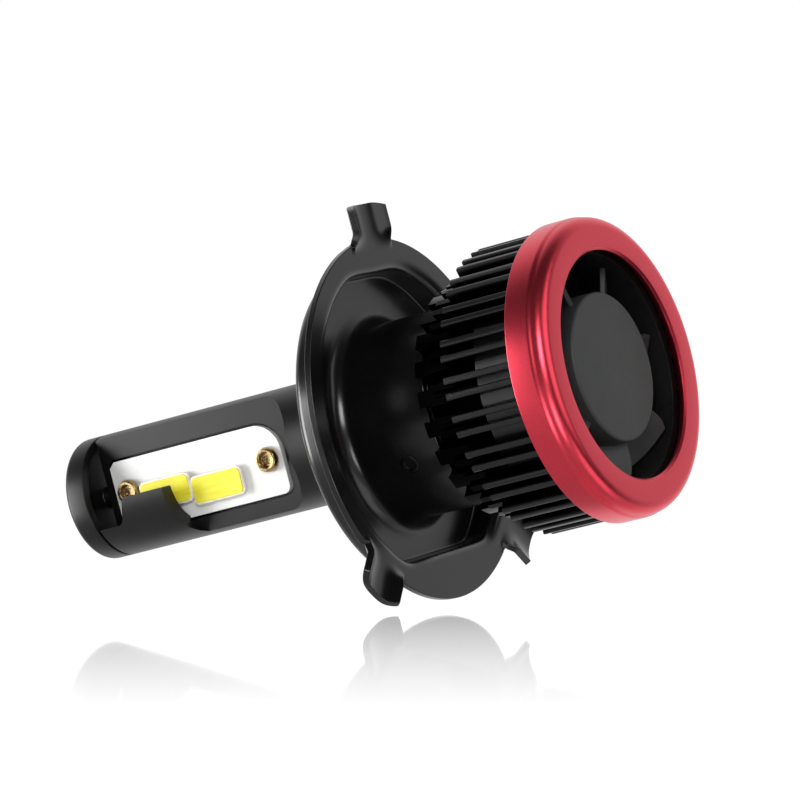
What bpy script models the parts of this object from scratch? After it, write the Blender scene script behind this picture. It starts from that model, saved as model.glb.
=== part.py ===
"""Fan-cooled LED headlight bulb with a three-tab pressed flange.

Every piece is drawn upright on the bulb's own axis: local Z runs from the tip to the fan, and local Y
points at the top tab. The empty "bulb_axis" lays that down in the world, where X is the bulb's axis,
the fan is at +X, the top tab is at +Z and the two LED boards look along -Y and +Y. The origin is on the
axis, at the middle of the flange plate's thickness. Lengths are in metres.
"""
import math

import bmesh
import bpy
from mathutils import Matrix, Vector

MM = 0.001
GAP = 0.3 * MM            # clearance between pieces that touch
FACETS = 48               # facets round the large turned pieces
SMALL_FACETS = 20         # facets round pins, tubes and screws

# Flange: pressed steel sheet
FLANGE_R = 21.5 * MM
SHEET = 0.8 * MM
TAB_LENGTH = 4.2 * MM     # from the plate's edge to the tabs' ends
TOP_TAB_WIDTH = 8.4 * MM
LOW_TAB_WIDTH = 7.4 * MM
TAB_CURL = 1.1 * MM       # height of a tab's curled sides above the plate
TAB_CORNER = 1.2 * MM
RECESS_R = 18.2 * MM      # inside radius of the recess
RECESS_DEPTH = 3.5 * MM
RECESS_CHORD = 15.8 * MM  # the level edge that cuts the recess off below the axis
RECESS_BOW = 0.8 * MM     # how far the recess's wall bows in under the top tab
RECESS_BOW_ANGLE = 24.0   # degrees to each side of the top tab that the bow runs
NECK_R = 11.6 * MM
NECK_TOP = 9.0 * MM
NECK_FILLET = 2.0 * MM
LIP = 0.3 * MM            # chamfer on turned and pressed edges
SET_SCREW_R = 1.1 * MM
SET_SCREW_HEIGHT = 4.3 * MM
SET_SCREW_ANGLE = 205.0

# Lamp column: turned and milled aluminium
TUBE_R = 7.4 * MM
TIP_END = -45.7 * MM
CAP_LENGTH = 3.0 * MM
CAP_WALL = 1.25 * MM
FLAT_HALF = 2.7 * MM      # half the thickness of the web between the windows
WINDOW_END = -13.2 * MM
WINDOW_CORNER = 4.5 * MM
SHIELD_WALL = 2.0 * MM
SHIELD_START = -37.5 * MM
SHIELD_END = -31.9 * MM
SHIELD_TOP = -0.4 * MM
NOTCH_END = -39.3 * MM
NOTCH_FLOOR = -3.6 * MM
NOTCH_FILLET = 1.2 * MM
SHOULDER_START = -3.5 * MM
SPIGOT_R = 6.0 * MM
SPIGOT_LENGTH = 6.7 * MM
O_RING_R = 0.5 * MM       # radius of the rubber's own section
O_RING_PLACE = 2.8 * MM
WIRE_BORE_R = 1.2 * MM
WIRE_BORE_OFFSET = 2.6 * MM
WIRE_HOLE_PLACE = -21.2 * MM

# LED boards
BOARD_START = -41.2 * MM
BOARD_END = -16.9 * MM
BOARD_LOW = -4.8 * MM
BOARD_HIGH = 3.9 * MM
BOARD_THICKNESS = 0.9 * MM
BOARD_CORNER = 1.6 * MM
BOARD_TOP_CORNER = 3.4 * MM
BOARD_SINK = 0.6 * MM     # how deep the board's back lies under the flat
CHIP_THICKNESS = 0.6 * MM
CHIP_CORNER = 0.5 * MM
LOW_CHIP = (-37.1 * MM, -30.2 * MM, -2.7 * MM, 0.5 * MM)
HIGH_CHIP = (-29.8 * MM, -22.8 * MM, -3.4 * MM, -0.3 * MM)
BOARD_SCREWS = ((-18.8 * MM, -0.4 * MM), (-39.0 * MM, 0.0))
BOARD_SCREW_HEAD_R = 1.5 * MM
BOARD_SCREW_HEAD = 0.7 * MM
BOARD_SCREW_R = 0.7 * MM
BOARD_SCREW_GRIP = 1.2 * MM
BOARD_SOCKET_DEPTH = 0.4 * MM

# Heat sink: extruded aluminium, turned in steps
FIN_COUNT = 24
FIN_R = 16.9 * MM
CORE_R = 9.5 * MM
STEM_HALF = 0.75 * MM
FORK_R = 12.8 * MM        # radius where a fin's stem divides
FORK_SPREAD = 2.0 * MM    # how much further out the two tips are fully apart
FORK_SLOT = 0.5 * MM      # half the slot between a fin's two tips
FORK_TIP = 0.8 * MM       # thickness of one tip
FIRST_STEP_R = 13.5 * MM
FIRST_STEP_END = 11.7 * MM
SECOND_STEP_R = 14.5 * MM
SECOND_STEP_END = 15.0 * MM
RING_SEAT_R = 16.2 * MM
SINK_TOP = 27.0 * MM
CAVITY_R = 14.9 * MM
CAVITY_FLOOR = 17.0 * MM

# Cover ring
RING_R = 17.6 * MM
RING_BACK = 24.0 * MM
RING_FACE = 29.0 * MM
RING_WEB = 1.5 * MM
RING_BORE_R = 13.3 * MM
RING_ROUND = 1.5 * MM

# Driver
DRIVER_R = 9.6 * MM
DRIVER_THICKNESS = 1.0 * MM
DRIVER_HOLE_R = 1.5 * MM
PART_HEIGHT = 1.4 * MM
PART_HALF = 1.8 * MM      # half the width of each part on the driver board
PART_CIRCLE = 5.2 * MM    # radius that the parts stand at

# Fan
FRAME_R = 14.6 * MM
FRAME_WALL = 1.2 * MM
FRAME_BOTTOM = 18.0 * MM
FRAME_TOP = 27.2 * MM
SPIDER_BOTTOM = 20.4 * MM
SPIDER_THICKNESS = 1.0 * MM
SPIDER_R = 5.2 * MM
SPOKE_WIDTH = 3.8 * MM
SPOKE_ANGLES = (60.0, 180.0, 300.0)
FAN_SCREW_CIRCLE = 7.8 * MM
FAN_SCREW_R = 0.7 * MM
FAN_SCREW_HEAD_R = 1.2 * MM
FAN_SCREW_HEAD = 0.6 * MM
FAN_SCREW_DEPTH = 3.0 * MM
SHAFT_R = 0.7 * MM
SLEEVE_WALL = 0.5 * MM
TUBE_WALL = 0.4 * MM
TUBE_TOP = 25.4 * MM
HUB_R = 8.75 * MM
HUB_FACE = 27.5 * MM
HUB_WALL = 1.0 * MM
HUB_BOTTOM = 22.7 * MM
BLADE_COUNT = 7
BLADE_R = 12.7 * MM
BLADE_TOP = 26.9 * MM
BLADE_THICKNESS = 0.6 * MM
BLADE_PITCH = 32.0        # degrees from the plane of the fan
BLADE_PHASE = -2.0        # degrees from local X to the first blade
YOKE_WALL = 0.5 * MM
MAGNET_WALL = 1.1 * MM
STATOR_R = 5.1 * MM
STATOR_BOTTOM = 23.2 * MM
STATOR_THICKNESS = 1.5 * MM
POLE_HALF = 0.6 * MM
SHOE_WALL = 0.5 * MM
COIL_WALL = 0.6 * MM
FAN_BOARD_THICKNESS = 0.5 * MM

# Cable grommet, on the far side
GROMMET_R = 2.3 * MM
GROMMET_BORE_R = 1.3 * MM
GROMMET_PLACE = 14.0 * MM
GROMMET_REACH = 17.2 * MM
GROMMET_COLLAR = 1.5 * MM

TABS = (("top_tab", TOP_TAB_WIDTH, 90), ("low_left_tab", LOW_TAB_WIDTH, 225),
        ("low_right_tab", LOW_TAB_WIDTH, 315))
SIDES = (("left", -1), ("right", 1))
TAB_REACH = FLANGE_R + TAB_LENGTH
CAP_SEAM = TIP_END + CAP_LENGTH
COLUMN_START = CAP_SEAM + GAP
SHOULDER_R = NECK_R - SHEET - GAP
SINK_START = NECK_TOP + GAP
BOARD_BACK = FLAT_HALF - BOARD_SINK
BOARD_FACE = BOARD_BACK + BOARD_THICKNESS
TUBE_BORE_R = SHAFT_R + GAP + SLEEVE_WALL + GAP
SPIDER_TOP = SPIDER_BOTTOM + SPIDER_THICKNESS
DRIVER_BOTTOM = CAVITY_FLOOR + GAP
DRIVER_TOP = DRIVER_BOTTOM + DRIVER_THICKNESS


def clear_scene():
    for leftover in list(bpy.data.objects):
        bpy.data.objects.remove(leftover)


def new_collection(name):
    collection = bpy.data.collections.new(name)
    bpy.context.scene.collection.children.link(collection)
    return collection


def finish(name, colour, roughness, metallic=0.0):
    material = bpy.data.materials.new(name)
    material.use_nodes = True
    shader = material.node_tree.nodes["Principled BSDF"]
    shader.inputs["Base Color"].default_value = (*colour, 1.0)
    shader.inputs["Roughness"].default_value = roughness
    shader.inputs["Metallic"].default_value = metallic
    material.diffuse_color = (*colour, 1.0)
    return material


clear_scene()
PARTS = new_collection("headlight_bulb")
CUTTERS = new_collection("cutters")
AXIS = bpy.data.objects.new("bulb_axis", None)
AXIS.rotation_euler = (math.radians(90), 0, math.radians(90))
PARTS.objects.link(AXIS)

BLACK_ANODISED = finish("black_anodised", (0.012, 0.012, 0.013), 0.45, 0.6)
BLACK_PAINT = finish("black_gloss_paint", (0.008, 0.008, 0.008), 0.18)
RED_ANODISED = finish("red_anodised", (0.62, 0.03, 0.05), 0.32, 0.9)
DARK_PLASTIC = finish("dark_grey_plastic", (0.045, 0.047, 0.046), 0.55)
BLACK_PLASTIC = finish("black_plastic", (0.01, 0.01, 0.01), 0.5)
WHITE_BOARD = finish("white_solder_mask", (0.82, 0.83, 0.82), 0.4)
GREEN_BOARD = finish("green_solder_mask", (0.02, 0.16, 0.06), 0.35)
PHOSPHOR = finish("yellow_phosphor", (0.88, 0.78, 0.05), 0.55)
BRASS = finish("brass", (0.66, 0.46, 0.18), 0.3, 1.0)
STEEL = finish("steel", (0.45, 0.45, 0.46), 0.35, 1.0)
FERRITE = finish("ferrite", (0.03, 0.03, 0.035), 0.6)
COPPER = finish("copper_wire", (0.72, 0.30, 0.12), 0.35, 1.0)
BRONZE = finish("sintered_bronze", (0.45, 0.30, 0.14), 0.45, 1.0)
RUBBER = finish("rubber", (0.012, 0.012, 0.012), 0.8)


# ---------------------------------------------------------------- drawing tools
def arc(centre, radius, start, end, steps):
    """Points on an arc, its two ends included; angles in degrees."""
    turn = (end - start) / steps
    angles = [math.radians(start + turn * step) for step in range(steps + 1)]
    return [(centre[0] + radius * math.cos(a), centre[1] + radius * math.sin(a)) for a in angles]


def box_outline(left, right, low, high):
    return [(left, low), (right, low), (right, high), (left, high)]


def rounded_box(left, right, low, high, radius, steps=4):
    corners = (((right - radius, low + radius), -90), ((right - radius, high - radius), 0),
               ((left + radius, high - radius), 90), ((left + radius, low + radius), 180))
    return [point for centre, start in corners for point in arc(centre, radius, start, start + 90, steps)]


def place(name, mesh, material):
    """A piece of the bulb, or a hidden cutter when it has no material."""
    piece = bpy.data.objects.new(name, mesh)
    if material is None:
        CUTTERS.objects.link(piece)
        piece.hide_render = True
        piece.display_type = "WIRE"
    else:
        PARTS.objects.link(piece)
        mesh.materials.append(material)
    piece.parent = AXIS
    return piece


def turned(name, profile, material=None, facets=FACETS, closed=False):
    """A lathe-turned solid: the profile's (radius, height) points run down its outer side."""
    mesh = bpy.data.meshes.new(name)
    edges = [(index, index + 1) for index in range(len(profile) - 1)]
    if closed:
        edges.append((len(profile) - 1, 0))
    mesh.from_pydata([(radius, 0, height) for radius, height in profile], edges, [])
    piece = place(name, mesh, material)
    screw = piece.modifiers.new("lathe", "SCREW")
    screw.axis = "Z"
    screw.angle = math.tau
    screw.steps = facets
    screw.render_steps = facets
    screw.use_merge_vertices = True
    screw.merge_threshold = 0.00001
    screw.use_smooth_shade = True
    return piece


def flat_solid(name, outline, low, high, material=None, holes=()):
    """A plate cut to an outline, lying between two heights.

    It is drawn a thousand times too large and scaled back, because the fill takes points that are
    closer than 0.03 mm as one.
    """
    curve = bpy.data.curves.new(name, "CURVE")
    curve.dimensions = "2D"
    curve.fill_mode = "BOTH"
    curve.extrude = (high - low) / 2 / MM
    for loop in (outline, *holes):
        spline = curve.splines.new("POLY")
        spline.points.add(len(loop) - 1)
        for point, (x, y) in zip(spline.points, loop):
            point.co = (x / MM, y / MM, 0, 1)
        spline.use_cyclic_u = True
    drawing = bpy.data.objects.new(name + "_drawing", curve)
    CUTTERS.objects.link(drawing)
    bpy.context.view_layer.update()
    mesh = bpy.data.meshes.new_from_object(drawing.evaluated_get(bpy.context.evaluated_depsgraph_get()))
    bpy.data.objects.remove(drawing)
    solid = bmesh.new()
    solid.from_mesh(mesh)
    bmesh.ops.remove_doubles(solid, verts=solid.verts, dist=0.001)
    solid.transform(Matrix.Translation((0, 0, (low + high) / 2)) @ Matrix.Scale(MM, 4))
    bmesh.ops.recalc_face_normals(solid, faces=solid.faces)
    solid.to_mesh(mesh)
    solid.free()
    mesh.materials.clear()
    return place(name, mesh, material)


def side_solid(name, outline, near, far, material=None, holes=()):
    """A plate cut to an outline of (height, up) points, lying between two distances along local X."""
    piece = flat_solid(name, outline, -far, -near, material, holes)
    piece.data.transform(Matrix.Rotation(math.radians(-90), 4, "Y"))
    return piece


def boolean(piece, other, operation):
    change = piece.modifiers.new(other.name, "BOOLEAN")
    change.operation = operation
    change.solver = "EXACT"
    change.object = other


def cut(piece, *cutters):
    for cutter in cutters:
        boolean(piece, cutter, "DIFFERENCE")


def join(piece, *others):
    for other in others:
        boolean(piece, other, "UNION")


def join_together(piece, *others):
    """One union with several solids at once, which leaves fewer slivers than a chain of unions."""
    group = bpy.data.collections.new(piece.name + "_additions")
    for other in others:
        group.objects.link(other)
    change = piece.modifiers.new("additions", "BOOLEAN")
    change.operation = "UNION"
    change.solver = "EXACT"
    change.operand_type = "COLLECTION"
    change.collection = group


def rod(name, radius, low, high, material=None, facets=SMALL_FACETS):
    return turned(name, [(0, high), (radius, high), (radius, low), (0, low)], material, facets)


def tube(name, inner, outer, low, high, material=None, facets=FACETS):
    profile = [(inner, high), (outer, high), (outer, low), (inner, low)]
    return turned(name, profile, material, facets, closed=True)


def on_circle(radius, angle):
    """A place on a circle round the axis, as local X and Y; the angle is in degrees from local X."""
    return radius * math.cos(math.radians(angle)), radius * math.sin(math.radians(angle))


def point_out(piece, angle, height=0.0):
    """Lays a piece that was drawn along Z so that it points out from the axis at an angle."""
    piece.matrix_local = (Matrix.Translation((0, 0, height)) @ Matrix.Rotation(math.radians(angle), 4, "Z")
                          @ Matrix.Rotation(math.radians(90), 4, "Y"))
    return piece


# ---------------------------------------------------------------- flange
def recess_outline(radius, chord):
    """Round, bowed in under the top tab, and cut off level below."""
    corner = math.degrees(math.asin(chord / radius))
    steps = 40
    points = []
    for step in range(steps + 1):
        angle = -corner + (180 + 2 * corner) * step / steps
        off_top = min(abs(angle - 90) / RECESS_BOW_ANGLE, 1.0)
        bow = RECESS_BOW * math.cos(off_top * math.pi / 2) ** 2
        points.append(on_circle(radius - bow, angle))
    return points


def plate_outline():
    """The flange plate's edge: round, with three tabs whose ends have rounded corners."""
    points = []
    for number, (_, width, angle) in enumerate(TABS):
        half = width / 2
        root = math.sqrt(FLANGE_R ** 2 - half ** 2)
        tab = [(root, -half), *arc((TAB_REACH - TAB_CORNER, -half + TAB_CORNER), TAB_CORNER, -90, 0, 4),
               *arc((TAB_REACH - TAB_CORNER, half - TAB_CORNER), TAB_CORNER, 0, 90, 4), (root, half)]
        turn = Matrix.Rotation(math.radians(angle), 2)
        points += [tuple(turn @ Vector(point)) for point in tab]
        start = angle + math.degrees(math.asin(half / FLANGE_R))
        _, next_width, next_angle = TABS[(number + 1) % len(TABS)]
        end = next_angle - math.degrees(math.asin(next_width / 2 / FLANGE_R))
        if end < start:
            end += 360
        points += arc((0, 0), FLANGE_R, start, end, round((end - start) / 5))[1:-1]
    return points


def tab_curls(flange):
    """The two long sides of each tab, curled up towards the fan."""
    inset = GAP / 6
    for name, width, angle in TABS:
        for side in (-1, 1):
            edges = sorted((side * (width / 2 - inset), side * (width / 2 - SHEET)))
            curl = flat_solid(f"{name}_curl_{side}",
                              box_outline(FLANGE_R - SHEET, TAB_REACH - TAB_CORNER, *edges),
                              0, SHEET / 2 + TAB_CURL)
            curl.matrix_local = Matrix.Rotation(math.radians(angle), 4, "Z")
            join(flange, curl)


def base_flange():
    plate_low, plate_high = -SHEET / 2, SHEET / 2
    floor = plate_high - RECESS_DEPTH
    flange = flat_solid("base_flange", plate_outline(), plate_low, plate_high, BLACK_PAINT)
    dish = flat_solid("dish", recess_outline(RECESS_R + SHEET, RECESS_CHORD + SHEET), floor - SHEET, 0)
    recess = flat_solid("recess", recess_outline(RECESS_R, RECESS_CHORD), floor, plate_high + SHEET)
    fillet_low = floor - SHEET / 10  # runs out just under the floor, so that the two surfaces cross
    fillet = arc((NECK_R + NECK_FILLET, fillet_low + NECK_FILLET), NECK_FILLET, 180, 270, 5)
    bore_r, root_low = NECK_R - SHEET, floor - SHEET / 2
    neck = turned("neck", [(bore_r, NECK_TOP), (NECK_R - LIP, NECK_TOP), (NECK_R, NECK_TOP - LIP), *fillet,
                           (NECK_R + NECK_FILLET, root_low), (bore_r, root_low)], closed=True)
    floor_hole = rod("floor_hole", NECK_R, floor - 2 * SHEET, floor + SHEET, facets=FACETS)
    join(flange, dish)
    cut(flange, recess, floor_hole)
    tab_curls(flange)
    join(flange, neck)
    hole = point_out(rod("set_screw_hole", SET_SCREW_R + GAP, NECK_R / 2, NECK_R + SHEET, facets=16),
                     SET_SCREW_ANGLE, SET_SCREW_HEIGHT)
    cut(flange, hole)


def collar_set_screw():
    """A grub screw with a round socket, set in the neck."""
    inner, outer, socket = SHOULDER_R + GAP, NECK_R + GAP / 2, SET_SCREW_R / 2
    screw = turned("collar_set_screw", [(0, outer - SHEET / 2), (socket, outer - SHEET / 2), (socket, outer),
                                        (SET_SCREW_R, outer), (SET_SCREW_R, inner), (0, inner)],
                   STEEL, facets=16)
    point_out(screw, SET_SCREW_ANGLE, SET_SCREW_HEIGHT)


def collar_o_ring():
    radius = SHOULDER_R - O_RING_R
    section = arc((radius, O_RING_PLACE), O_RING_R, 90, -270, 8)[:-1]
    turned("collar_o_ring", section, RUBBER, facets=32, closed=True)


# ---------------------------------------------------------------- lamp column
def board_outline(grow):
    """The board's edge, moved out by a distance: chamfered at the tip and round at the fan end."""
    left, right, low, high = BOARD_START - grow, BOARD_END + grow, BOARD_LOW - grow, BOARD_HIGH + grow
    low_corner, high_corner = BOARD_CORNER + grow, BOARD_TOP_CORNER + grow
    return [(left, low), *arc((right - low_corner, low + low_corner), low_corner, -90, 0, 5),
            *arc((right - high_corner, high - high_corner), high_corner, 0, 90, 7),
            (left + BOARD_CORNER, high), (left, high - BOARD_CORNER)]


def window_outline():
    past_end, past_side = COLUMN_START - CAP_LENGTH, TUBE_R + GAP
    corner = WINDOW_CORNER
    high = math.sqrt(TUBE_R ** 2 - FLAT_HALF ** 2)  # where the flat meets the tube's side
    low = -high
    return [(past_end, -past_side), (WINDOW_END - corner, -past_side),
            *arc((WINDOW_END - corner, low + corner), corner, -90, 0, 8),
            *arc((WINDOW_END - corner, high - corner), corner, 0, 90, 8),
            (WINDOW_END - corner, past_side), (past_end, past_side)]


def shield_outline():
    """The wall left standing below each window: a low stretch at the tip, and the shield."""
    start, below = COLUMN_START - GAP, -2 * TUBE_R
    return [(start, below), (SHIELD_END, below), (SHIELD_END, SHIELD_TOP), (SHIELD_START, SHIELD_TOP),
            *arc((NOTCH_END, NOTCH_FLOOR + NOTCH_FILLET), NOTCH_FILLET, -20, -90, 4), (start, NOTCH_FLOOR)]


def lamp_column():
    groove = O_RING_R + GAP
    groove_r = SHOULDER_R - 2 * O_RING_R - GAP
    spigot_end = NECK_TOP + SPIGOT_LENGTH
    column = turned("lamp_column", [
        (0, spigot_end), (SPIGOT_R, spigot_end), (SPIGOT_R, NECK_TOP), (SHOULDER_R, NECK_TOP),
        (SHOULDER_R, O_RING_PLACE + groove), (groove_r, O_RING_PLACE + groove),
        (groove_r, O_RING_PLACE - groove), (SHOULDER_R, O_RING_PLACE - groove),
        (SHOULDER_R, SHOULDER_START), (TUBE_R, SHOULDER_START), (TUBE_R, COLUMN_START), (0, COLUMN_START)],
        BLACK_ANODISED)
    for side, sign in SIDES:
        near, far = sorted((sign * FLAT_HALF, sign * (TUBE_R + CAP_WALL)))
        window = side_solid(f"window_{side}", window_outline(), near, far)
        shield = tube(f"shield_{side}", TUBE_R - SHIELD_WALL, 2 * TUBE_R, COLUMN_START - 2 * GAP,
                      SHIELD_END + 2 * GAP)
        boolean(shield, side_solid(f"shield_edge_{side}", shield_outline(), *sorted((0, sign * 3 * TUBE_R))),
                "INTERSECT")
        cut(window, shield)
        near, far = sorted((sign * (BOARD_BACK - GAP), sign * (FLAT_HALF + GAP)))
        cut(column, window, side_solid(f"board_seat_{side}", board_outline(GAP), near, far))
    for side, sign in SIDES:
        for number, (along, up) in enumerate(BOARD_SCREWS, 1):
            depth = BOARD_BACK - GAP - BOARD_SCREW_GRIP - GAP
            hole = rod(f"thread_hole_{side}_{number}", BOARD_SCREW_R + GAP, depth, FLAT_HALF + GAP, facets=12)
            hole.matrix_local = side_matrix(sign, along, up)
            cut(column, hole)
    wire_bore = rod("wire_bore", WIRE_BORE_R, WIRE_HOLE_PLACE, spigot_end + GAP, facets=16)
    wire_bore.location = (0, WIRE_BORE_OFFSET, 0)
    wire_hole = rod("wire_hole", WIRE_BORE_R - GAP / 2, -FLAT_HALF, FLAT_HALF, facets=12)
    wire_hole.matrix_local = side_matrix(1, WIRE_HOLE_PLACE, WIRE_BORE_OFFSET)
    cap_socket = rod("cap_socket", CAP_WALL + GAP, COLUMN_START - GAP, COLUMN_START + 2 * CAP_WALL - GAP,
                     facets=16)
    cut(column, wire_bore, wire_hole, cap_socket)


def side_matrix(sign, along, up):
    """Lays a piece that was drawn along Z so that it points out of one side of the column."""
    return Matrix.Translation((0, up, along)) @ Matrix.Rotation(math.radians(90 * sign), 4, "Y")


def tip_cap():
    """A cup with a pin in its middle, pressed into the column's end."""
    floor = TIP_END + CAP_WALL
    pin_end = COLUMN_START + 2 * CAP_WALL - 2 * GAP
    turned("tip_cap", [(0, pin_end), (CAP_WALL, pin_end), (CAP_WALL, floor), (TUBE_R - CAP_WALL, floor),
                       (TUBE_R - CAP_WALL, CAP_SEAM), (TUBE_R, CAP_SEAM), (TUBE_R, TIP_END + LIP),
                       (TUBE_R - LIP, TIP_END), (0, TIP_END)], BLACK_ANODISED)


# ---------------------------------------------------------------- LED boards
def led_board(side, sign):
    near, far = sorted((sign * BOARD_BACK, sign * BOARD_FACE))
    holes = [arc((along, up), BOARD_SCREW_R + GAP, 0, 360 - 360 / 16, 15) for along, up in BOARD_SCREWS]
    side_solid(f"led_board_{side}", board_outline(0), near, far, WHITE_BOARD, holes)


def led_chip(name, sign, edges):
    near, far = sorted((sign * (BOARD_FACE + GAP), sign * (BOARD_FACE + GAP + CHIP_THICKNESS)))
    side_solid(name, rounded_box(*edges, CHIP_CORNER), near, far, PHOSPHOR)


def board_screw(side, sign, number, along, up):
    head_low = BOARD_FACE + GAP
    head_high = head_low + BOARD_SCREW_HEAD
    end = BOARD_BACK - GAP - BOARD_SCREW_GRIP
    socket_r = BOARD_SCREW_HEAD_R / 2
    screw = turned(f"board_screw_{side}_{number}", [
        (0, head_high - BOARD_SOCKET_DEPTH), (socket_r, head_high - BOARD_SOCKET_DEPTH),
        (socket_r, head_high),
        (BOARD_SCREW_HEAD_R, head_high), (BOARD_SCREW_HEAD_R, head_low), (BOARD_SCREW_R, head_low),
        (BOARD_SCREW_R, end), (0, end)], BRASS, facets=16)
    screw.matrix_local = side_matrix(sign, along, up)


# ---------------------------------------------------------------- heat sink
def fin_points(angle):
    """One forked fin, from its root on one side round both tips to its root on the other."""
    tip_outer = FORK_SLOT + FORK_TIP
    root = math.sqrt(CORE_R ** 2 - STEM_HALF ** 2)
    half = [(root, STEM_HALF), (FORK_R, STEM_HALF), (FORK_R + FORK_SPREAD, tip_outer), (FIN_R, tip_outer),
            (FIN_R, FORK_SLOT), (FORK_R + FORK_SPREAD, FORK_SLOT), (FORK_R + SHEET, FORK_SLOT / 4)]
    points = [(x, -y) for x, y in half] + [(x, y) for x, y in reversed(half)]
    turn = Matrix.Rotation(math.radians(angle), 2)
    return [tuple(turn @ Vector(point)) for point in points]


def heat_sink():
    pitch = 360 / FIN_COUNT
    outline = [point for fin in range(FIN_COUNT) for point in fin_points(fin * pitch + pitch / 2)]
    sink = flat_solid("heat_sink", outline, SINK_START, SINK_TOP, BLACK_ANODISED)
    beyond = RING_R + SHEET
    ring_seat_start = RING_BACK - GAP
    steps = [
        (0, CAVITY_FLOOR), (CAVITY_R, CAVITY_FLOOR), (CAVITY_R, SINK_TOP + GAP),
        (RING_SEAT_R, SINK_TOP + GAP),
        (RING_SEAT_R, ring_seat_start), (beyond, ring_seat_start), (beyond, SECOND_STEP_END),
        (SECOND_STEP_R, SECOND_STEP_END), (SECOND_STEP_R, FIRST_STEP_END), (FIRST_STEP_R, FIRST_STEP_END),
        (FIRST_STEP_R, SINK_START - GAP), (0, SINK_START - GAP)]
    # one facet to a fin, with its middle at the step's radius
    facet_middle = math.cos(math.pi / FIN_COUNT)
    envelope = turned("sink_steps", [(radius / facet_middle, height) for radius, height in steps],
                      facets=FIN_COUNT)
    boolean(sink, envelope, "INTERSECT")
    spigot_hole = rod("spigot_hole", SPIGOT_R + GAP, SINK_START - 2 * GAP, NECK_TOP + SPIGOT_LENGTH + GAP,
                      facets=48)
    wire_way = rod("wire_way", 2 * WIRE_BORE_R, NECK_TOP + SPIGOT_LENGTH, CAVITY_FLOOR + GAP)
    wire_way.location = (0, WIRE_BORE_OFFSET, 0)
    grommet_slot = flat_solid("grommet_slot", box_outline(CORE_R, FIN_R + GAP, -GROMMET_R - 2 * GAP,
                                                          GROMMET_R + 2 * GAP),
                              GROMMET_PLACE - GROMMET_R - 2 * GAP, GROMMET_PLACE + GROMMET_R + 2 * GAP)
    cord_place = (SPIGOT_R + GAP + CORE_R) / 2
    cord_hole = point_out(rod("cord_hole", GROMMET_BORE_R, cord_place, CORE_R + GAP, facets=16), 0,
                          GROMMET_PLACE)
    cord_way = rod("cord_way", GROMMET_BORE_R - GAP, GROMMET_PLACE, CAVITY_FLOOR + GAP, facets=16)
    cord_way.location = (cord_place, 0, 0)
    cut(sink, spigot_hole, wire_way, grommet_slot, cord_hole, cord_way)
    for number, angle in enumerate(SPOKE_ANGLES, 1):
        hole = rod(f"fan_thread_{number}", FAN_SCREW_R + GAP, CAVITY_FLOOR - FAN_SCREW_DEPTH - GAP,
                   CAVITY_FLOOR + GAP, facets=12)
        hole.location = (*on_circle(FAN_SCREW_CIRCLE, angle), 0)
        cut(sink, hole)


def fan_cover_ring():
    """A sleeve over the ends of the fins, with a face that leaves the fan open."""
    web_back = RING_FACE - RING_WEB
    sleeve_r = RING_SEAT_R + GAP
    turned("fan_cover_ring", [
        (RING_BORE_R, RING_FACE - LIP), (RING_BORE_R + LIP, RING_FACE),
        *arc((RING_R - RING_ROUND, RING_FACE - RING_ROUND), RING_ROUND, 90, 0, 4), (RING_R, RING_BACK),
        (sleeve_r, RING_BACK), (sleeve_r, web_back), (RING_BORE_R, web_back)],
        RED_ANODISED, facets=64, closed=True)


def cable_grommet():
    """A rubber bush between the fins, where the cord goes in."""
    inner, flange_r = CORE_R + GAP, GROMMET_R
    neck_r = GROMMET_R - 2 * GAP
    grommet = turned("cable_grommet", [
        (GROMMET_BORE_R, GROMMET_REACH), (flange_r, GROMMET_REACH),
        (flange_r, GROMMET_REACH - GROMMET_COLLAR),
        (neck_r, GROMMET_REACH - GROMMET_COLLAR), (neck_r, inner), (GROMMET_BORE_R, inner)],
        RUBBER, facets=20, closed=True)
    point_out(grommet, 0, GROMMET_PLACE)


# ---------------------------------------------------------------- driver
def driver_board():
    board = tube("driver_board", DRIVER_HOLE_R, DRIVER_R, DRIVER_BOTTOM, DRIVER_TOP, GREEN_BOARD, facets=40)
    for number, angle in enumerate(SPOKE_ANGLES, 1):
        hole = rod(f"driver_hole_{number}", FAN_SCREW_R + GAP, DRIVER_BOTTOM - GAP, DRIVER_TOP + GAP,
                   facets=12)
        hole.location = (*on_circle(FAN_SCREW_CIRCLE, angle), 0)
        cut(board, hole)


def driver_parts():
    """A wound inductor, a capacitor and a chip, spaced evenly round the board."""
    low = DRIVER_TOP + GAP
    high = low + PART_HEIGHT
    rim, waist = SHEET / 2, PART_HALF - SHEET / 2
    inductor = turned("driver_inductor", [
        (0, high), (PART_HALF, high), (PART_HALF, high - rim), (waist, high - rim), (waist, low + rim),
        (PART_HALF, low + rim), (PART_HALF, low), (0, low)], FERRITE, facets=20)
    capacitor = rod("driver_capacitor", PART_HALF - GAP, low, high, STEEL, facets=20)
    chip = flat_solid("driver_chip", box_outline(-PART_HALF, PART_HALF, -PART_HALF, PART_HALF), low,
                      low + PART_HEIGHT / 2, BLACK_PLASTIC)
    for number, part in enumerate((inductor, capacitor, chip)):
        part.location = (*on_circle(PART_CIRCLE, 120 * number), 0)


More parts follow.
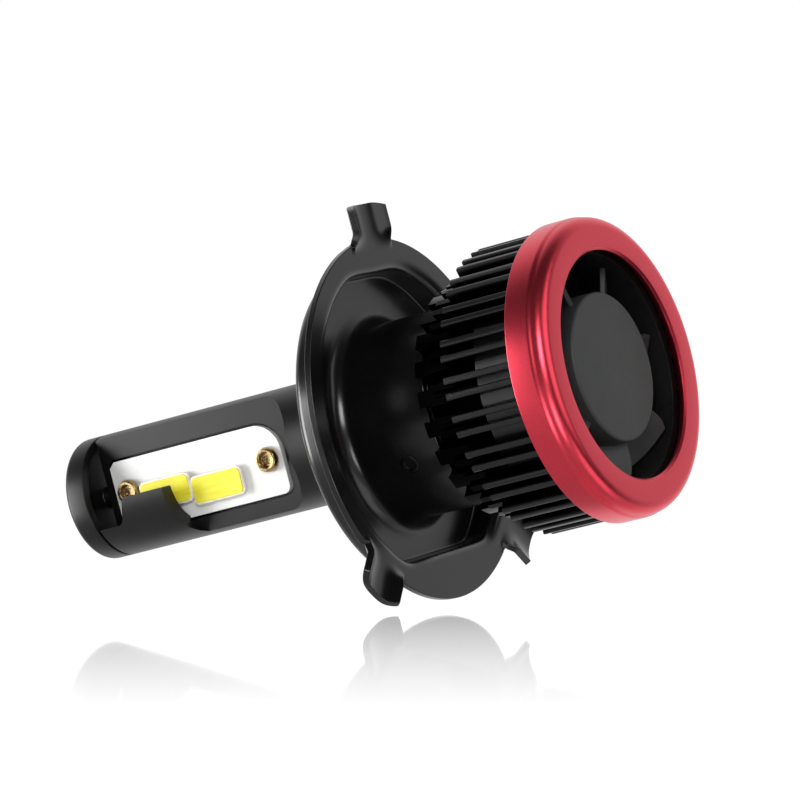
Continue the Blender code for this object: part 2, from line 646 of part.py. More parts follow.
# ---------------------------------------------------------------- fan
def spider_outline():
    """A round plate with a spoke for each screw."""
    half = SPOKE_WIDTH / 2
    half_angle = math.degrees(math.asin(half / SPIDER_R))
    points = []
    for angle in SPOKE_ANGLES:
        turn = Matrix.Rotation(math.radians(angle), 2)
        ends = ((FRAME_R - FRAME_WALL / 2, -half), (FRAME_R - FRAME_WALL / 2, half))
        points += [tuple(turn @ Vector(end)) for end in ends]
        next_angle = angle + 360 / len(SPOKE_ANGLES)
        points += arc((0, 0), SPIDER_R, angle + half_angle, next_angle - half_angle, 8)
    return points


def fan_frame():
    """A shroud, with a spider that carries the bearing's tower and stands on three tubular legs."""
    frame = tube("fan_frame", FRAME_R - FRAME_WALL, FRAME_R, FRAME_BOTTOM, FRAME_TOP, BLACK_PLASTIC)
    mid_spider = SPIDER_BOTTOM + SPIDER_THICKNESS / 2
    hole_r = FAN_SCREW_R + GAP
    counterbores = [arc(on_circle(FAN_SCREW_CIRCLE, angle), hole_r + GAP / 2, 0, 330, 11)
                    for angle in SPOKE_ANGLES]
    spider = flat_solid("spider", spider_outline(), SPIDER_BOTTOM, SPIDER_TOP, holes=counterbores)
    tower = tube("tower", TUBE_BORE_R, TUBE_BORE_R + TUBE_WALL, mid_spider, TUBE_TOP, facets=SMALL_FACETS)
    legs = []
    for number, angle in enumerate(SPOKE_ANGLES, 1):
        leg = tube(f"leg_{number}", hole_r, hole_r + SHEET, DRIVER_TOP + GAP, mid_spider, facets=16)
        leg.location = (*on_circle(FAN_SCREW_CIRCLE, angle), 0)
        legs.append(leg)
    join_together(frame, spider, tower, *legs)


def fan_screws():
    head_low = SPIDER_TOP + GAP
    for number, angle in enumerate(SPOKE_ANGLES, 1):
        screw = turned(f"fan_screw_{number}", [
            (0, head_low + FAN_SCREW_HEAD), (FAN_SCREW_HEAD_R, head_low + FAN_SCREW_HEAD),
            (FAN_SCREW_HEAD_R, head_low), (FAN_SCREW_R, head_low),
            (FAN_SCREW_R, CAVITY_FLOOR - FAN_SCREW_DEPTH), (0, CAVITY_FLOOR - FAN_SCREW_DEPTH)],
            STEEL, facets=14)
        screw.location = (*on_circle(FAN_SCREW_CIRCLE, angle), 0)


def blade_mesh():
    """All the blades: each is a grid bent to a helical strip, thickened afterwards."""
    rise = BLADE_TOP - HUB_BOTTOM - BLADE_THICKNESS
    blades = bmesh.new()
    for blade in range(BLADE_COUNT):
        grid = bmesh.ops.create_grid(blades, x_segments=2, y_segments=5, size=0.5)["verts"]
        middle = BLADE_PHASE + 360 / BLADE_COUNT * blade
        for vertex in grid:
            outward, up = vertex.co.x + 0.5, vertex.co.y
            radius = HUB_R - HUB_WALL / 2 + (BLADE_R - HUB_R + HUB_WALL / 2) * outward
            run = up * rise / math.tan(math.radians(BLADE_PITCH))
            angle = middle + math.degrees(run / (HUB_R + BLADE_R) * 2)
            height = (BLADE_TOP + HUB_BOTTOM) / 2 + up * rise
            vertex.co = (*on_circle(radius, angle), height)
    mesh = bpy.data.meshes.new("blades")
    blades.to_mesh(mesh)
    blades.free()
    return mesh


def fan_impeller():
    disc = HUB_WALL
    hub = turned("fan_impeller", [
        (0, HUB_FACE), (HUB_R - LIP, HUB_FACE), (HUB_R, HUB_FACE - LIP), (HUB_R, HUB_BOTTOM),
        (HUB_R - HUB_WALL, HUB_BOTTOM), (HUB_R - HUB_WALL, HUB_FACE - disc), (SHAFT_R + GAP, HUB_FACE - disc),
        (SHAFT_R + GAP, HUB_FACE - disc / 2), (0, HUB_FACE - disc / 2)], DARK_PLASTIC)
    blades = place("blades", blade_mesh(), None)
    thicken = blades.modifiers.new("thickness", "SOLIDIFY")
    thicken.thickness = BLADE_THICKNESS
    thicken.offset = 0
    join(hub, blades)


def fan_motor():
    """Shaft, magnet and steel cup turn with the hub; sleeve, stator and board stay on the frame."""
    disc_low = HUB_FACE - HUB_WALL
    rod("fan_shaft", SHAFT_R, SPIDER_TOP + GAP, disc_low + HUB_WALL / 2 - GAP, STEEL, facets=16)
    tube("fan_bearing", SHAFT_R + GAP, TUBE_BORE_R - GAP, SPIDER_TOP + GAP, TUBE_TOP - GAP, BRONZE, facets=20)
    yoke_r = HUB_R - HUB_WALL - GAP
    yoke_top = disc_low - GAP
    turned("rotor_yoke", [
        (TUBE_BORE_R + TUBE_WALL, yoke_top), (yoke_r, yoke_top), (yoke_r, HUB_BOTTOM),
        (yoke_r - YOKE_WALL, HUB_BOTTOM), (yoke_r - YOKE_WALL, yoke_top - YOKE_WALL),
        (TUBE_BORE_R + TUBE_WALL, yoke_top - YOKE_WALL)], STEEL, facets=40, closed=True)
    magnet_r = yoke_r - YOKE_WALL - GAP
    tube("rotor_magnet", magnet_r - MAGNET_WALL, magnet_r, HUB_BOTTOM + GAP, yoke_top - YOKE_WALL - GAP,
         FERRITE, facets=40)
    board_low = SPIDER_TOP + GAP
    tube("fan_circuit_board", TUBE_BORE_R + TUBE_WALL + GAP, STATOR_R, board_low,
         board_low + FAN_BOARD_THICKNESS, GREEN_BOARD, facets=32)


def stator_core():
    """A ring with four arms, each ending in a curved shoe."""
    bore = TUBE_BORE_R + TUBE_WALL + GAP
    shoe_r = STATOR_R - SHOE_WALL
    top = STATOR_BOTTOM + STATOR_THICKNESS
    core = tube("stator_core", bore, bore + SHOE_WALL, STATOR_BOTTOM, top, STEEL, facets=32)
    for pole in range(4):
        arm = flat_solid(f"pole_arm_{pole}", box_outline(bore + SHOE_WALL / 2, shoe_r + SHOE_WALL / 2,
                                                         -POLE_HALF, POLE_HALF), STATOR_BOTTOM, top)
        shoe = flat_solid(f"pole_shoe_{pole}", arc((0, 0), STATOR_R, -30, 30, 6)
                          + arc((0, 0), shoe_r, 30, -30, 6), STATOR_BOTTOM, top)
        for piece in (arm, shoe):
            piece.matrix_local = Matrix.Rotation(math.radians(90 * pole), 4, "Z")
            join(core, piece)


def stator_coils():
    """A square ring of wire round each arm of the stator."""
    near = TUBE_BORE_R + TUBE_WALL + GAP + SHOE_WALL + GAP
    far = STATOR_R - SHOE_WALL - GAP
    inner_half = POLE_HALF + GAP
    low, high = STATOR_BOTTOM - GAP, STATOR_BOTTOM + STATOR_THICKNESS + GAP
    wall = COIL_WALL - GAP
    for pole in range(4):
        outside = box_outline(low - wall, high + wall, -inner_half - wall, inner_half + wall)
        inside = box_outline(low, high, -inner_half, inner_half)
        coil = side_solid(f"stator_coil_{pole + 1}", outside, near, far, COPPER, [inside])
        coil.matrix_local = Matrix.Rotation(math.radians(90 * pole), 4, "Z")


def weld_slivers():
    """Closes the hair-thin gaps that a chain of Booleans can leave."""
    for piece in PARTS.objects:
        if len(piece.modifiers) > 1:
            weld = piece.modifiers.new("weld", "WELD")
            weld.merge_threshold = 0.00001


base_flange()
collar_set_screw()
collar_o_ring()
lamp_column()
tip_cap()
for side_name, side_sign in SIDES:
    led_board(side_name, side_sign)
    led_chip(f"low_beam_chip_{side_name}", side_sign, LOW_CHIP)
    led_chip(f"high_beam_chip_{side_name}", side_sign, HIGH_CHIP)
    for screw_number, (screw_along, screw_up) in enumerate(BOARD_SCREWS, 1):
        board_screw(side_name, side_sign, screw_number, screw_along, screw_up)
heat_sink()
fan_cover_ring()
cable_grommet()
driver_board()
driver_parts()
fan_frame()
fan_screws()
fan_impeller()
fan_motor()
stator_core()
stator_coils()
weld_slivers()
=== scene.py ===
import math

import bmesh
import bpy
from mathutils import Matrix, Vector


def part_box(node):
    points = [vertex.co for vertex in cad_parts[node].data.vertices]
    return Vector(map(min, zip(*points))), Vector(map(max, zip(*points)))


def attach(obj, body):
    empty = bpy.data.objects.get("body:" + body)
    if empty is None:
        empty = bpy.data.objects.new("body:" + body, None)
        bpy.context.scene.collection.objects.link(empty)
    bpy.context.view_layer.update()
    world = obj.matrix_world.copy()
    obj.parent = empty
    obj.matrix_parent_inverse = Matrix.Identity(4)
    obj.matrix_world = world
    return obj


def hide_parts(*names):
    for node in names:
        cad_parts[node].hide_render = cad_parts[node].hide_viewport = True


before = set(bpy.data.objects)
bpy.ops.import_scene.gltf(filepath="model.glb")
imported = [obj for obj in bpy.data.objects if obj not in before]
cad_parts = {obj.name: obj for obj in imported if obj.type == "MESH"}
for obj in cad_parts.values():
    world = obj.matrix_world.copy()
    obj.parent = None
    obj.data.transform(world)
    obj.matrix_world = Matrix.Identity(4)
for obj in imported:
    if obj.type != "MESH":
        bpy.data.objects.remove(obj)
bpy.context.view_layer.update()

MM = 0.001


# ---- Base flange --------------------------------------------------------------------------------
# The locating plate: one pressing in 0.8 mm deep-drawing steel, with a dished recess, a drawn neck
# that holds the lamp, and three tabs whose long sides are curled towards the fan. It is
# electrocoated black after pressing.
SHEET = 0.8 * MM
PLATE_R = 21.5 * MM
TAB_END = 25.65 * MM
TABS = ((90, 4.2 * MM), (225, 3.7 * MM), (315, 3.7 * MM))    # angle, half width
CURL_TOP = 1.2 * MM            # height of a tab's turned-up edges
CURL_POWER = 2.6               # how late across a tab its edges turn up
CURL_START = 20.0 * MM         # radius where the curls begin to rise out of the plate
CURL_FULL = 22.6 * MM
NECK_MID_R = 11.2 * MM
NECK_END = 9.0 * MM
NECK_ROOT = 2.4 * MM
FLOOR_MID = -3.5 * MM
RECESS_MID_R = 18.6 * MM
RECESS_CHORD = 16.2 * MM
RECESS_BOW = 0.8 * MM
PRESS_ROUND = 0.75 * MM        # rounding of the recess's rim and foot


def linear(code):
    """A colour from its sRGB hex code, as the shaders want it."""
    parts = [int(code[place:place + 2], 16) / 255 for place in (1, 3, 5)]
    return (*[p / 12.92 if p < 0.04045 else ((p + 0.055) / 1.055) ** 2.4 for p in parts], 1.0)


def add(tree, kind, settings=None, **links):
    """Adds one node: settings go to its properties or its sockets, and links join sockets to it."""
    made = tree.nodes.new("ShaderNode" + kind)
    for name, value in (settings or {}).items():
        if name in made.bl_rna.properties:
            setattr(made, name, value)
        else:
            made.inputs[name].default_value = value
    for name, source in links.items():
        tree.links.new(source, made.inputs[name.replace("_", " ")])
    return made


def new_material(name, settings):
    """A material with one Principled shader, whose constants are set on its own sockets."""
    made = bpy.data.materials.new(name)
    made.use_nodes = True
    shader = made.node_tree.nodes["Principled BSDF"]
    for socket, value in settings.items():
        shader.inputs[socket].default_value = value
    place = add(made.node_tree, "TexCoord").outputs["Object"]
    return made, made.node_tree, shader, place


def tint(tree, shader, codes, factor, stops=(0.3, 0.7)):
    """Colours the shader with a ramp between two hex colours."""
    ramp = add(tree, "ValToRGB", Fac=factor)
    for element, stop, code in zip(ramp.color_ramp.elements, stops, codes):
        element.position, element.color = stop, linear(code)
    tree.links.new(ramp.outputs["Color"], shader.inputs["Base Color"])


def vary(tree, shader, socket, factor, low, high):
    """Moves one of the shader's numbers between two values."""
    spread = add(tree, "MapRange", {"To Min": low, "To Max": high}, Value=factor)
    tree.links.new(spread.outputs["Result"], shader.inputs[socket])


def emboss(tree, shader, heights, strength, depth):
    """Raises the surface by a pattern; depth is the pattern's height in metres."""
    bump = add(tree, "Bump", {"Strength": strength, "Distance": depth}, Height=heights)
    tree.links.new(bump.outputs["Normal"], shader.inputs["Normal"])


def speckle(tree, place, size, detail=2.0):
    """Noise whose features are about this many millimetres across."""
    return add(tree, "TexNoise", {"Scale": 1000 / size, "Detail": detail}, Vector=place).outputs["Fac"]


def smooth_step(value):
    value = min(max(value, 0.0), 1.0)
    return value * value * (3 - 2 * value)


def round_axis(along, radius, angle):
    """A place at a radius and an angle round the bulb's axis; 90 degrees is up."""
    turn = math.radians(angle)
    return Vector((along, radius * math.cos(turn), radius * math.sin(turn)))


def shaped_grid(mesh, steps, rows, place):
    """Adds a grid whose vertices go to place(step, row)."""
    made = bmesh.ops.create_grid(mesh, x_segments=steps, y_segments=rows, size=0.5)["verts"]
    for vertex in made:
        vertex.co = place(round((vertex.co.x + 0.5) * steps), round((vertex.co.y + 0.5) * rows))
    return made


def close_up(mesh):
    """Merges seams and poles and turns the faces out."""
    bmesh.ops.remove_doubles(mesh, verts=mesh.verts, dist=0.002 * MM)
    bmesh.ops.recalc_face_normals(mesh, faces=mesh.faces)


def make_piece(name, mesh, material, body, slot, *replaced, angle=32):
    """Turns a bmesh into a piece that rides on a body and stands for CAD nodes."""
    data = bpy.data.meshes.new(name)
    mesh.to_mesh(data)
    mesh.free()
    data.materials.append(material)
    piece = bpy.data.objects.new(name, data)
    bpy.context.scene.collection.objects.link(piece)
    data.shade_smooth()
    data.set_sharp_from_angle(angle=math.radians(angle))
    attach(piece, body)
    if replaced:
        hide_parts(*replaced)
    return piece


def soften_edges(piece, width, segments=2, angle=40):
    """A live bevel on the sharp edges, which carries the thin light line of a real edge."""
    edges = piece.modifiers.new("edges", "BEVEL")
    edges.width = width
    edges.segments = segments
    edges.limit_method = "ANGLE"
    edges.angle_limit = math.radians(angle)
    edges.harden_normals = True


electrocoat, tree, shader, place = new_material("electrocoated_black_steel", {"IOR": 1.52})
# thin even paint over pressed steel: soft, slightly wavy reflections and a fine orange peel
waves = speckle(tree, place, 6.0)
tint(tree, shader, ("#0b0b0b", "#101010"), waves)
vary(tree, shader, "Roughness", waves, 0.2, 0.28)
emboss(tree, shader, speckle(tree, place, 1.1, 1.0), 0.12, 0.006 * MM)


def plate_columns():
    """The places round the plate's edge, as (angle, tab number or None, place across the tab)."""
    columns = []
    for number, (tab, half) in enumerate(TABS):
        across = 28
        for step in range(across + 1):
            share = 2 * step / across - 1
            columns.append((tab + math.degrees(math.asin(half * share / PLATE_R)), number, share))
        following, next_half = TABS[(number + 1) % len(TABS)]
        start = tab + math.degrees(math.asin(half / PLATE_R))
        end = following - math.degrees(math.asin(next_half / PLATE_R))
        end += 360 if end < start else 0
        steps = round(end - start)
        columns += [(start + (end - start) * step / steps, None, 0.0) for step in range(1, steps)]
    return columns


def recess_radius(angle):
    """The recess's rim: round, bowed in under the top tab and cut off level below."""
    off_top = min(abs((angle % 360) - 90) / 24, 1.0)
    rim = RECESS_MID_R - RECESS_BOW * math.cos(off_top * math.pi / 2) ** 2
    down = -math.sin(math.radians(angle))
    if down <= 0.05:
        return rim
    level, blend = RECESS_CHORD / down, 0.35 * MM
    nearer = min(rim, level)
    return nearer - blend * math.log(math.exp((nearer - rim) / blend) + math.exp((nearer - level) / blend))


def sheet_profile(angle):
    """From the plate's edge to the neck's end at one angle, as (along, radius) points."""
    rim = recess_radius(angle)
    edge = rim + PRESS_ROUND
    points = [(0.0, edge + (PLATE_R - edge) * share)
              for share in (1.0, 0.86, 0.72, 0.58, 0.44, 0.3, 0.15, 0.0)]
    turns = [math.radians(15 * step) for step in range(1, 7)]
    points += [(PRESS_ROUND * (math.cos(turn) - 1), rim + PRESS_ROUND * (1 - math.sin(turn)))
               for turn in turns]
    turns = [math.radians(15 * step) for step in range(0, 7)]
    points += [(FLOOR_MID + PRESS_ROUND * (1 - math.sin(turn)), rim - PRESS_ROUND * (1 - math.cos(turn)))
               for turn in turns]
    outer, inner = rim - PRESS_ROUND, NECK_MID_R + NECK_ROOT
    points += [(FLOOR_MID, outer + (inner - outer) * share) for share in (0.25, 0.5, 0.75)]
    turns = [math.radians(10 * step) for step in range(0, 10)]
    points += [(FLOOR_MID + NECK_ROOT * (1 - math.cos(turn)), NECK_MID_R + NECK_ROOT * (1 - math.sin(turn)))
               for turn in turns]
    return points + [(height, NECK_MID_R) for height in (2 * MM, 5 * MM, NECK_END)]


def curl_section(share, half):
    """Across a tab, which is a shallow trough with upturned edges; gives (across, rise)."""
    return (half - 0.3 * MM) * share, CURL_TOP * abs(share) ** CURL_POWER


def curled(number, share, radial, across):
    """Bends a place on the flat sheet into its tab's channel, more and more with the radius."""
    angle, half = TABS[number]
    amount = smooth_step((radial - CURL_START) / (CURL_FULL - CURL_START))
    bent_across, rise = curl_section(share, half)
    across += (bent_across - half * share) * amount
    return Matrix.Rotation(math.radians(angle), 3, "X") @ Vector((rise * amount, radial, across))


def plate_place(column, row):
    """A place on the round part of the sheet, bent where a tab grows out of it."""
    angle, number, share = column
    along, radius = sheet_profile(angle)[row]
    if number is None or radius < CURL_START:
        return round_axis(along, radius, angle)
    turn = math.radians(angle - TABS[number][0])
    return curled(number, share, radius * math.cos(turn), radius * math.sin(turn))


def tab_place(number, share, out):
    """A place on a tab; out runs from 0 at the plate's edge to 1 at the tab's end."""
    half = TABS[number][1]
    root = math.sqrt(PLATE_R ** 2 - (half * share) ** 2)
    rounding = 0.6 * MM * smooth_step((out - 0.35) / 0.65) * (max(abs(share) - 0.45, 0) / 0.55) ** 2
    return curled(number, share, root + (TAB_END - root) * out - rounding, half * share)


columns = plate_columns()
sheet = bmesh.new()
shaped_grid(sheet, len(columns), len(sheet_profile(0)) - 1,
            lambda step, row: plate_place(columns[step % len(columns)], row))
for number in range(len(TABS)):
    shares = [column[2] for column in columns if column[1] == number]
    shaped_grid(sheet, len(shares) - 1, 16, lambda step, row: tab_place(number, shares[step], row / 16))
close_up(sheet)
flange = make_piece("flange", sheet, electrocoat, "base", "black_paint", "base_flange", angle=60)
wall = flange.modifiers.new("sheet", "SOLIDIFY")
wall.thickness = SHEET
wall.offset = 0
soften_edges(flange, 0.16 * MM, 3)


# ---- Collar set screw and O-ring ----------------------------------------------------------------
# A black oxide M2 grub screw in the neck locks the lamp at its clock position, and a nitrile
# O-ring on the lamp's shoulder seals it in the neck.
zinc, tree, shader, place = new_material("zinc_plated_steel", {"Metallic": 1.0})
# bright plating with a faint milky bloom
bloom = speckle(tree, place, 0.6, 3.0)
tint(tree, shader, ("#8c8f92", "#b9bcbe"), bloom)
vary(tree, shader, "Roughness", bloom, 0.22, 0.38)

black_oxide, tree, shader, place = new_material("black_oxide_steel", {"Metallic": 0.9})
# oiled black finish, worn a little on the socket's edge
wear = speckle(tree, place, 0.4, 3.0)
tint(tree, shader, ("#151517", "#2c2c2f"), wear)
vary(tree, shader, "Roughness", wear, 0.25, 0.4)

nitrile, tree, shader, place = new_material("nitrile_rubber", {"IOR": 1.5})
# dull black moulded rubber with a dusty skin
dust = speckle(tree, place, 0.5, 4.0)
tint(tree, shader, ("#0e0e0e", "#1c1c1b"), dust)
vary(tree, shader, "Roughness", dust, 0.6, 0.85)
emboss(tree, shader, dust, 0.3, 0.01 * MM)


def use_on(material, *nodes):
    """Gives CAD nodes that stay in sight a material."""
    for node in nodes:
        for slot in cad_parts[node].material_slots:
            slot.material = material


def rounded(corners, steps=5):
    """A line through (x, y, rounding) corners, with an arc at each corner that has a rounding."""
    line = []
    for place, (x, y, rounding) in enumerate(corners):
        here = Vector((x, y))
        if not rounding:
            line.append(here)
            continue
        before = Vector(corners[place - 1][:2])
        after = Vector(corners[(place + 1) % len(corners)][:2])
        inward, outward = (before - here).normalized(), (after - here).normalized()
        half = inward.angle(outward) / 2
        reach = rounding / math.tan(half)
        middle = here + (inward + outward).normalized() * rounding / math.sin(half)
        first, last = here + inward * reach - middle, here + outward * reach - middle
        sweep = first.angle_signed(last)
        line += [middle + Matrix.Rotation(-sweep * step / steps, 2) @ first for step in range(steps + 1)]
    return line


def turned(mesh, corners, segments, closed=True, steps=5):
    """Turns a profile of (along, radius, rounding) corners on the bulb's axis."""
    line = [mesh.verts.new((along, radius, 0)) for along, radius in rounded(corners, steps)]
    pairs = list(zip(line, line[1:])) + ([(line[-1], line[0])] if closed else [])
    edges = [mesh.edges.new(pair) for pair in pairs]
    bmesh.ops.spin(mesh, geom=line + edges, axis=(1, 0, 0), cent=(0, 0, 0), angle=math.tau,
                   steps=segments, use_merge=True)
    close_up(mesh)


def pointing(angle, along):
    """Takes a shape drawn along X to one that points out of the bulb's axis at an angle."""
    return (Matrix.Translation((along, 0, 0)) @ Matrix.Rotation(math.radians(angle), 4, "X")
            @ Matrix.Rotation(math.radians(90), 4, "Z"))


SET_SCREW_R = 1.1 * MM
low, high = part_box("collar_set_screw")
screw_angle = math.degrees(math.atan2((low.z + high.z) / 2, (low.y + high.y) / 2))
screw = bmesh.new()
screw_top = 11.74 * MM
turned(screw, [(screw_top - 0.5 * MM, 0, 0), (screw_top - 0.5 * MM, 0.5 * MM, 0),
               (screw_top, 0.62 * MM, 0.05 * MM), (screw_top, SET_SCREW_R, 0.12 * MM),
               (screw_top - 1.2 * MM, SET_SCREW_R, 0), (screw_top - 1.2 * MM, 0, 0)], 36, closed=False)
screw.transform(pointing(screw_angle, (low.x + high.x) / 2))
make_piece("neck_grub_screw", screw, black_oxide, "base", "steel", "collar_set_screw")
use_on(nitrile, "collar_o_ring")


# ---- Lamp column --------------------------------------------------------------------------------
# The lamp's stem: bar aluminium turned to a tube, with a window milled in each side down to a
# central web that carries the LED boards. The wall left standing in each window is the low-beam
# shield. It is bead blasted and black anodised.
TUBE_R = 7.4 * MM
COLUMN_START = -42.4 * MM
WEB_HALF = 2.7 * MM
WINDOW_END = -13.2 * MM
WINDOW_CORNER = 4.5 * MM
SHIELD_WALL = 2.0 * MM
SHIELD_TOP = -0.4 * MM
SHIELD_END = -31.7 * MM
SHIELD_FOOT = SHIELD_END + 4 * MM    # where the cutter for the shield's filleted foot ends
SHIELD_FILLET = 3 * MM
SHIELD_START = -37.5 * MM
NOTCH_END = -39.3 * MM
NOTCH_FLOOR = -3.6 * MM
SIDES = (("left", -1), ("right", 1))
GAP = 0.3 * MM

black_anodised, tree, shader, place = new_material("bead_blasted_black_anodised_aluminium",
                                                   {"Metallic": 0.35})
# dyed oxide over a blasted surface: deep satin black with a faint grey sheen and a fine frost
frost = speckle(tree, place, 0.22, 4.0)
tint(tree, shader, ("#0a0a0b", "#101011"), speckle(tree, place, 5.0))
vary(tree, shader, "Roughness", frost, 0.36, 0.46)
emboss(tree, shader, frost, 0.15, 0.004 * MM)


def mesh_object(mesh, name):
    data = bpy.data.meshes.new(name)
    mesh.to_mesh(data)
    mesh.free()
    made = bpy.data.objects.new(name, data)
    bpy.context.scene.collection.objects.link(made)
    return made


def machined(blank, *cuts):
    """Works a blank with (operation, tool) steps and gives back the finished mesh."""
    work = mesh_object(blank, "blank")
    tools = []
    for operation, tool in cuts:
        tools.append(mesh_object(tool, "tool"))
        step = work.modifiers.new("step", "BOOLEAN")
        step.operation, step.object, step.solver = operation, tools[-1], "EXACT"
    bpy.context.view_layer.update()
    done = bpy.data.meshes.new_from_object(work.evaluated_get(bpy.context.evaluated_depsgraph_get()))
    for made in (work, *tools):
        bpy.data.objects.remove(made)
    mesh = bmesh.new()
    mesh.from_mesh(done)
    bmesh.ops.remove_doubles(mesh, verts=mesh.verts, dist=0.004 * MM)
    bmesh.ops.dissolve_degenerate(mesh, edges=mesh.edges, dist=0.004 * MM)
    return mesh


def slab(outline, near, far, axes="xz"):
    """A flat plate cut to an outline, lying between two distances along Y, or along X for yz."""
    mesh = bmesh.new()
    if axes == "xz":
        corners, push = [mesh.verts.new((x, near, z)) for x, z in outline], Vector((0, far - near, 0))
    else:
        corners, push = [mesh.verts.new((near, y, z)) for y, z in outline], Vector((far - near, 0, 0))
    face = mesh.faces.new(corners)
    grown = bmesh.ops.extrude_face_region(mesh, geom=[face])["geom"]
    moved = [part for part in grown if isinstance(part, bmesh.types.BMVert)]
    bmesh.ops.translate(mesh, verts=moved, vec=push)
    bmesh.ops.recalc_face_normals(mesh, faces=mesh.faces)
    return mesh


def board_outline(grow):
    """The LED board's edge, moved out by a distance: chamfered at the tip, rounded at the fan end."""
    low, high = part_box("led_board_left")
    left, right, down, up = low.x - grow, high.x + grow, low.z - grow, high.z + grow
    chamfer = 0.7 * MM
    return rounded([(left, down, 0.05 * MM), (right, down, 1.0 * MM + grow), (right, up, 3.4 * MM + grow),
                    (left + chamfer, up, 0.1 * MM), (left, up - chamfer, 0.1 * MM)], steps=8)


rise = math.sqrt(TUBE_R ** 2 - WEB_HALF ** 2)
past_tip, past_side = COLUMN_START - 3 * MM, TUBE_R + GAP
column = bmesh.new()
turned(column, [(15.7 * MM, 0, 0), (15.7 * MM, 6 * MM, 0), (9 * MM, 6 * MM, 0), (9 * MM, 10.5 * MM, 0.3 * MM),
                (3.6 * MM, 10.5 * MM, 0), (3.6 * MM, 9.2 * MM, 0), (2.0 * MM, 9.2 * MM, 0),
                (2.0 * MM, 10.5 * MM, 0), (-3.5 * MM, 10.5 * MM, 0.4 * MM), (-3.5 * MM, TUBE_R, 0.3 * MM),
                (COLUMN_START, TUBE_R, 0), (COLUMN_START, 0, 0)], 144, closed=False)
steps = []
for side, sign in SIDES:
    near, far = sorted((sign * WEB_HALF, sign * (TUBE_R + 2 * MM)))
    window = slab(rounded([(past_tip, -past_side, 0), (WINDOW_END - WINDOW_CORNER, -past_side, 0),
                           (WINDOW_END - WINDOW_CORNER, -rise, 0), (WINDOW_END, -rise, WINDOW_CORNER),
                           (WINDOW_END, rise, WINDOW_CORNER), (WINDOW_END - WINDOW_CORNER, rise, 0),
                           (WINDOW_END - WINDOW_CORNER, past_side, 0), (past_tip, past_side, 0)], steps=12),
                  near, far)
    shield = bmesh.new()
    turned(shield, [(COLUMN_START - GAP, TUBE_R - SHIELD_WALL, 0), (COLUMN_START - GAP, 2 * TUBE_R, 0),
                    (SHIELD_FOOT, 2 * TUBE_R, 0), (SHIELD_FOOT, TUBE_R - SHIELD_WALL, 0)], 144)
    edge = slab(rounded([(COLUMN_START - 2 * GAP, -3 * TUBE_R, 0), (SHIELD_FOOT, -3 * TUBE_R, 0),
                         (SHIELD_FOOT, -rise - 0.2 * MM, 0), (SHIELD_END, -rise - 0.2 * MM, SHIELD_FILLET),
                         (SHIELD_END, SHIELD_TOP, 0.15 * MM), (SHIELD_START, SHIELD_TOP, 0.25 * MM),
                         (NOTCH_END + 0.4 * MM, NOTCH_FLOOR, 1.2 * MM),
                         (COLUMN_START - 2 * GAP, NOTCH_FLOOR, 0)]),
                *sorted((0, sign * 3 * TUBE_R)))
    shield = machined(shield, ("INTERSECT", edge))
    window = machined(window, ("DIFFERENCE", shield))
    near, far = sorted((sign * 1.8 * MM, sign * 3 * MM))
    steps += [("DIFFERENCE", window), ("DIFFERENCE", slab(board_outline(GAP), near, far))]
column = machined(column, *steps)
stem = make_piece("stem", column, black_anodised, "lamp", "black_anodised", "lamp_column", angle=35)
soften_edges(stem, 0.1 * MM, 2, 35)


# ---- Tip cap ------------------------------------------------------------------------------------
# A turned aluminium cup with a pin, pressed into the stem's end after the boards are wired. It is
# anodised with the stem and leaves a fine seam round it.
cap = bmesh.new()
turned(cap, [(-40.4 * MM, 0, 0), (-40.4 * MM, 1.25 * MM, 0.2 * MM), (-44.4 * MM, 1.25 * MM, 0.2 * MM),
             (-44.4 * MM, 6.15 * MM, 0.4 * MM), (-42.75 * MM, 6.15 * MM, 0.1 * MM),
             (-42.75 * MM, TUBE_R, 0.12 * MM), (-45.65 * MM, TUBE_R, 0.75 * MM), (-45.65 * MM, 0, 0)], 144,
       closed=False, steps=6)
make_piece("end_cup", cap, black_anodised, "lamp", "black_anodised", "tip_cap", angle=30)


# ---- LED boards ---------------------------------------------------------------------------------
# One aluminium-core board to a side, with a white solder mask. Each carries a low-beam and a
# high-beam chip, and is held by two brass screws.
white_mask, tree, shader, place = new_material("white_solder_mask", {"IOR": 1.55, "Coat Weight": 0.15})
# printed epoxy ink over aluminium: clean white, slightly uneven, with a soft gloss
unevenness = speckle(tree, place, 3.0, 3.0)
tint(tree, shader, ("#e2e2df", "#e9e9e7"), unevenness)
vary(tree, shader, "Roughness", unevenness, 0.34, 0.44)
emboss(tree, shader, speckle(tree, place, 0.8, 2.0), 0.1, 0.004 * MM)

silicone_dam, tree, shader, place = new_material("white_silicone_dam", {"IOR": 1.41, "Roughness": 0.45})
# a dispensed bead: soft milky white with faint ripples
ripples = speckle(tree, place, 0.5, 2.0)
tint(tree, shader, ("#e2dccf", "#f4f1ea"), ripples)
emboss(tree, shader, ripples, 0.3, 0.02 * MM)

phosphor, tree, shader, place = new_material("yellow_phosphor_silicone", {
    "IOR": 1.43, "Subsurface Weight": 0.15, "Subsurface Radius": (0.6 * MM, 0.5 * MM, 0.1 * MM),
    "Subsurface Scale": 1.0})
# powder set in clear silicone: strong yellow with the faint rows of the dies under it
rows = add(tree, "Mapping", {"Scale": (0.15, 1.0, 1.0)}, Vector=place).outputs["Vector"]
rows = speckle(tree, rows, 0.5, 2.0)
tint(tree, shader, ("#eade2b", "#f5ec45"), rows, (0.3, 0.65))
vary(tree, shader, "Roughness", rows, 0.35, 0.5)
emboss(tree, shader, speckle(tree, place, 0.2, 2.0), 0.2, 0.01 * MM)

brass, tree, shader, place = new_material("turned_brass", {"Metallic": 1.0})
